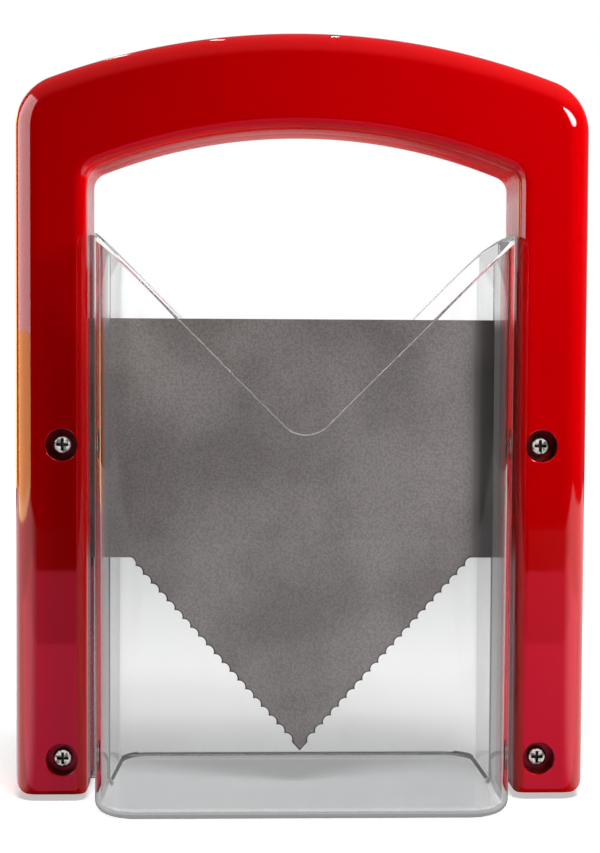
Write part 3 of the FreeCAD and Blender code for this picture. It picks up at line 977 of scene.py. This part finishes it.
class SLICER_OT_screws(bpy.types.Operator):
    """Model one pan-head screw and copy it to the four places"""
    bl_idname = "slicer.screws"
    bl_label = "Screws"

    def execute(self, context):
        size = sizes().screws
        material, dark = plated_steel(), ground_steel()
        x, front, z = screw_middle(SCREW_NODES[0])
        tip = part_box(SCREW_NODES[0])[1].y
        seat = front + size.head_height
        radius, shank = size.head_diameter / 2, size.shank / 2
        first = pen_down("screw", x, front, z)
        draw(radius - size.crown, 0)
        bpy.ops.mesh.spin(steps=CROWN_STEPS, angle=math.pi / 2, axis=(0, 0, -1),
                          center=(x + radius - size.crown, front + size.crown, z))
        draw(0, 0, size.head_height - size.crown)
        draw(shank - radius, 0)
        draw(0, 0, tip - size.point - seat)
        draw(shank / 4 - shank, 0, size.point)
        draw(-shank / 4, 0)
        select_all()
        bpy.ops.mesh.spin(steps=SCREW_STEPS, angle=2 * math.pi, center=(x, 0, z), axis=(0, 1, 0))
        select_all()
        bpy.ops.mesh.remove_doubles(threshold=NEAR / 4)
        face_outwards()
        long, wide = size.cross_length / 2, size.cross_width / 2
        for across, up in ((long, wide), (wide, long)):
            arm = block("cross", x - across, x + across, front - MM, front + size.cross_depth, z - up, z + up)
            pick_faces(arm, lambda centre, normal: normal.y > 0.9)
            bpy.ops.transform.resize(value=(0.5, 1, 0.5), center_override=(x, front, z))
            carve(first, arm)
        apply_modifier(first, "BEVEL", width=SCREW_ROUNDING, segments=2, limit_method="ANGLE",
                       angle_limit=math.radians(50))
        smooth(first)
        for node in SCREW_NODES:
            take_up(first)
            bpy.ops.object.duplicate()
            copy = named(node + "_plated")
            there_x, there_front, there_z = screw_middle(node)
            edit()
            select_all()
            bpy.ops.transform.translate(value=(there_x - x, there_front - front, there_z - z))
            ready()
            settle(copy, "blade_frame", node, material)

            def in_cross(centre, normal):
                inside = math.hypot(centre.x - there_x, centre.z - there_z) < radius - size.crown / 2
                return inside and 0.2 * MM < centre.y - there_front < size.cross_depth + NEAR

            # The cross recess gets the near-black steel as painted shade
            second_finish(copy, dark, in_cross)
        bpy.data.objects.remove(first, do_unlink=True)
        return {"FINISHED"}


def lamp(name, place, target, width, height, watts, only, tint=(1, 1, 1), shape="RECTANGLE", gloss=False):
    """A soft flat lamp that faces a point; it lights some pieces' faces, or only shows in their gloss."""
    ready()
    bpy.ops.object.light_add(type="AREA", location=place)
    light = bpy.context.object
    light.name = name
    light.data.shape = shape
    light.data.size = width
    light.data.size_y = height
    light.data.energy = watts
    light.data.color = tint
    light.rotation_euler = (Vector(target) - Vector(place)).to_track_quat("-Z", "Y").to_euler()
    light.visible_camera = False
    light.visible_diffuse = not gloss
    light.visible_glossy = gloss
    light.visible_transmission = gloss
    lit = bpy.data.collections.new(name + "_lit")
    for piece in only:
        lit.objects.link(bpy.data.objects[piece])
    light.light_linking.receiver_collection = lit
    return light


def shade_lamp(light, strength):
    """Lets a sum set the strength of a lamp over its face."""
    light.data.use_nodes = True
    tree = light.data.node_tree
    tree.links.new(strength(tree), tree.nodes["Emission"].inputs["Strength"])


def on_face(tree):
    """Where on its face a lamp is seen: across and along, each from 0 to 1."""
    return axes(tree, tree.nodes.new("ShaderNodeNewGeometry").outputs["Parametric"])[:2]


def beside_the_feet(tree):
    """Nothing straight in front of the feet, rising to full strength beside them."""
    across, along = (sums(tree, "ABSOLUTE", sums(tree, "MULTIPLY_ADD", share, span, -span / 2))
                     for share, span in zip(on_face(tree), TABLE_CARD))
    slope = sums(tree, "DIVIDE", sums(tree, "SUBTRACT", across, FRAME_HALF_WIDTH),
                 sums(tree, "MAXIMUM", along, MM))
    return between(tree, slope, 0.02, 0.95, 0, 1)


def weak_at_the_foot(tree):
    """Little at the foot of the lamp, rising to full strength above."""
    return between(tree, on_face(tree)[1], -0.05, 0.15, 0, 1)


def first_seen(tree):
    """Full strength in the first mirror that a ray meets, and none after another one or a dull face."""
    path = tree.nodes.new("ShaderNodeLightPath").outputs
    return sums(tree, "MULTIPLY", sums(tree, "LESS_THAN", path["Glossy Depth"], 1.5),
                sums(tree, "LESS_THAN", path["Diffuse Depth"], 0.5))


def table_white():
    """Pale table: white to the camera, lit and shaded through glass, dimmer in the gloss and as a lamp."""
    material, tree, surface, output, place = start_material("table_white")
    dress(tree, surface, {"Base Color": (*sizes().stage.floor, 1), "Roughness": 0.6,
                          "Specular IOR Level": 0.0})
    path = tree.nodes.new("ShaderNodeLightPath").outputs
    away = add_node(tree, "ShaderNodeVectorMath", operation="LENGTH", Vector=place).outputs["Value"]
    seen = sums(tree, "MULTIPLY", path["Is Camera Ray"], between(tree, away, 0.1, 0.5, 0.5, 1.0))
    through = sums(tree, "MULTIPLY", path["Is Transmission Ray"], 0.2)
    lifted = tree.nodes.new("ShaderNodeAddShader")
    tree.links.new(surface.outputs["BSDF"], lifted.inputs[0])
    tree.links.new(glow(tree, sums(tree, "ADD", seen, through)), lifted.inputs[1])
    mirrored = glow(tree, sums(tree, "MULTIPLY_ADD", path["Is Transmission Ray"], 0.45, 0.06))
    in_gloss = sums(tree, "GREATER_THAN", path["Glossy Depth"], 0.5)
    to_gloss = mix_shaders(tree, in_gloss, lifted.outputs["Shader"], mirrored)
    to_faces = mix_shaders(tree, path["Is Diffuse Ray"], to_gloss, glow(tree, 0.06))
    tree.links.new(to_faces, output.inputs["Surface"])
    return material


def studio_world():
    """White to the camera; a half-lit backdrop in the gloss; white cards all round through the glass."""
    world = bpy.data.worlds.new("studio")
    bpy.context.scene.world = world
    world.use_nodes = True
    tree = world.node_tree
    tree.nodes.clear()
    output = tree.nodes.new("ShaderNodeOutputWorld")
    path = tree.nodes.new("ShaderNodeLightPath").outputs
    x, y, z = axes(tree, tree.nodes.new("ShaderNodeTexCoord").outputs["Generated"])
    backdrop = sums(tree, "MAXIMUM", between(tree, y, -0.1, 0.45, 0, 0.1),
                    between(tree, z, 0.35, 0.8, 0, 0.2))
    facing = sums(tree, "MAXIMUM", sums(tree, "ABSOLUTE", x), sums(tree, "ABSOLUTE", y))
    cards = chain(tree, "MULTIPLY",
                  between(tree, facing, 0.88, 0.96, 0.04, 0.95),
                  between(tree, z, 0.09, 0.22, 1, 0.06),
                  between(tree, z, -0.02, 0.05, 1, 1.3),
                  between(tree, path["Glossy Depth"], 0.2, 0.8, 1, 0.3))
    strength = either(tree, path["Is Glossy Ray"], 0.03, backdrop)
    strength = either(tree, path["Is Transmission Ray"], strength, cards)
    strength = either(tree, path["Is Camera Ray"], strength, 1.0)
    room = add_node(tree, "ShaderNodeBackground", Color=(1, 1, 1, 1), Strength=strength)
    tree.links.new(room.outputs["Background"], output.inputs["Surface"])


def light_faces(red, screws, blade, holder):
    """Sets the lamps that light faces, each with place, target, width, height, watts and pieces."""
    lamp("overhead", (0.1, 0.1, 1.1), (0, 0, 0.1), 1.1, 0.8, 13, (*red, *screws, *blade, *holder))
    lamp("table_light", (0.12, -0.4, 1), (0, 0, 0), 0.5, 0.4, 9.5, ("table",))
    lamp("table_fill", (0.1, 0.1, 1.1), (0, 0, 0.1), 1.1, 0.8, 5, ("table",))
    lamp("key", (0.187, -0.275, 0.265), (0.02, 0, 0.15), 0.06, 0.06, 0.9, (*red, *screws, *holder))
    lamp("blade_right", (0.34, -0.3, 0.12), (0, 0, 0.08), 0.12, 0.12, 2.85, blade)
    lamp("blade_left", (-0.4, -0.3, 0.1), (0, 0, 0.08), 0.2, 0.2, 0.4, blade)
    lamp("left_side", (-0.6, 0.03, 0.15), (0, 0.03, 0.15), 0.05, 0.35, 2.8, red)
    lamp("right_side", (0.6, -0.06, 0.15), (0, 0, 0.15), 0.05, 0.35, 2.2, red)
    lamp("under_handle", (0, 0.04, 0.15), (0, 0, 0.205), 0.14, 0.02, 0.11, red)
    for side in (-1, 1):
        lamp("inner_edge", (0, -0.02, 0.08), (side, -0.02, 0.08), 0.01, 0.16, 0.03, red)


def show_in_gloss(red, screws, holder):
    """Sets the lamps that only show in gloss, each with place, target, width, height, watts and pieces."""
    card = partial(lamp, gloss=True)
    card("flash", (0.357, -0.404, 0.344), (0.08, -0.014, 0.21), 0.26, 0.1, 1.6, red, shape="ELLIPSE")
    shade_lamp(card("backdrop", (0, 1.2, 0.5), (0, 0, 0.5), 2.2, 1, 2.7, red), weak_at_the_foot)
    for x, y, z in ((-0.159, 0.35, 0.557), (-0.075, 0.246, 0.658), (0.05, 0.25, 0.66)):
        card("glint", (x, y, z), (x / 3, 0, 0.23), 0.003, 0.06, 0.034, red)
    for depth, watts in ((0.52, 3.3), (0.26, 1.2)):
        y = -0.025 - depth / 2
        card("table_tint", (0, y, CARD_LIFT), (0, y, 1), 1, depth, watts, red, CRIMSON)
    shade_lamp(card("table_side", (0, 0, CARD_LIFT), (0, 0, 1), *TABLE_CARD, 15, red), beside_the_feet)
    card("left_window", (-0.5, -0.15, 0.375), (0, -0.15, 0.375), 0.7, 0.45, 4.45, red)
    card("left_wood", (-0.5, -0.15, 0.097), (0, -0.15, 0.097), 0.7, 0.107, 1.3, red, WOOD)
    card("left_corner", (-0.36, 0.45, 0.2), (-0.08, 0, 0.15), 0.2, 0.3, 0.75, red, AMBER)
    shade_lamp(card("rim", (0, -0.05, 0.7), (0, -0.05, 0.15), 1.7, 0.7, 23, holder), first_seen)
    card("screw_shine", (0, -0.55, 0.15), (0, 0, 0.08), 0.9, 0.3, 0.7, screws)
    card("screw_table", (0, -0.2, 0.4 * MM), (0, -0.2, 1), 0.5, 0.34, 0.36, screws)


def set_camera(looks):
    """Sets the camera at the fitted place."""
    ready()
    bpy.ops.object.camera_add(location=looks.camera_place)
    camera = bpy.context.object
    camera.name = "camera"
    turn = Matrix.Rotation(-looks.camera_pan, 4, "Z")
    tilt = Matrix.Rotation(math.pi / 2 - looks.camera_tilt, 4, "X")
    camera.rotation_euler = (turn @ tilt @ Matrix.Rotation(looks.camera_roll, 4, "Z")).to_euler()
    camera.data.sensor_fit = "VERTICAL"
    camera.data.sensor_height = SENSOR_HEIGHT
    camera.data.lens = looks.lens
    bpy.context.scene.camera = camera


class SLICER_OT_stage(bpy.types.Operator):
    """Set the table, the lamps and the camera"""
    bl_idname = "slicer.stage"
    bl_label = "Stage"

    def execute(self, context):
        ready()
        bpy.ops.mesh.primitive_plane_add(size=1, location=(0, TABLE_MIDDLE, -TABLE_DROP))
        table = named("table")
        edit()
        bpy.ops.transform.resize(value=(*TABLE_SIZE, 1), center_override=(0, TABLE_MIDDLE, 0))
        bpy.ops.mesh.subdivide(number_cuts=4)
        ready()
        take_up(table)
        bpy.ops.object.transform_apply(location=True, rotation=True, scale=True)
        table.data.materials.append(table_white())
        studio_world()
        red = ("frame_front_moulding", "frame_rear_moulding")
        screws = [node + "_plated" for node in SCREW_NODES]
        blade, holder = ("coated_blade",), ("clear_holder",)
        light_faces(red, screws, blade, holder)
        show_in_gloss(red, screws, holder)
        set_camera(sizes().stage)
        context.scene.view_settings.view_transform = "Standard"
        return {"FINISHED"}


OPERATORS = (SLICER_OT_frame, SLICER_OT_holder, SLICER_OT_blade, SLICER_OT_screws, SLICER_OT_stage)


class SLICER_PT_pieces(bpy.types.Panel):
    """The slicer's pieces and their sizes"""
    bl_idname = "SLICER_PT_pieces"
    bl_label = "Bagel Slicer"
    bl_space_type = "VIEW_3D"
    bl_region_type = "UI"
    bl_category = "Bagel Slicer"

    def draw(self, context):
        for operator in OPERATORS:
            box = self.layout.box()
            box.operator(operator.bl_idname)
            group = getattr(sizes(), operator.bl_idname.split(".")[1])
            for key in group.__annotations__:
                box.prop(group, key)


CLASSES = (FrameSizes, HolderSizes, ScrewSizes, BladeSizes, StageLooks, SlicerSizes, *OPERATORS,
           SLICER_PT_pieces)


def register():
    for kind in CLASSES:
        bpy.utils.register_class(kind)
    bpy.types.Scene.bagel_slicer = PointerProperty(type=SlicerSizes)


def unregister():
    del bpy.types.Scene.bagel_slicer
    for kind in reversed(CLASSES):
        bpy.utils.unregister_class(kind)


def main():
    register()
    bpy.ops.slicer.frame()
    bpy.ops.slicer.holder()
    bpy.ops.slicer.blade()
    bpy.ops.slicer.screws()
    bpy.ops.slicer.stage()


if __name__ == "__main__":
    main()
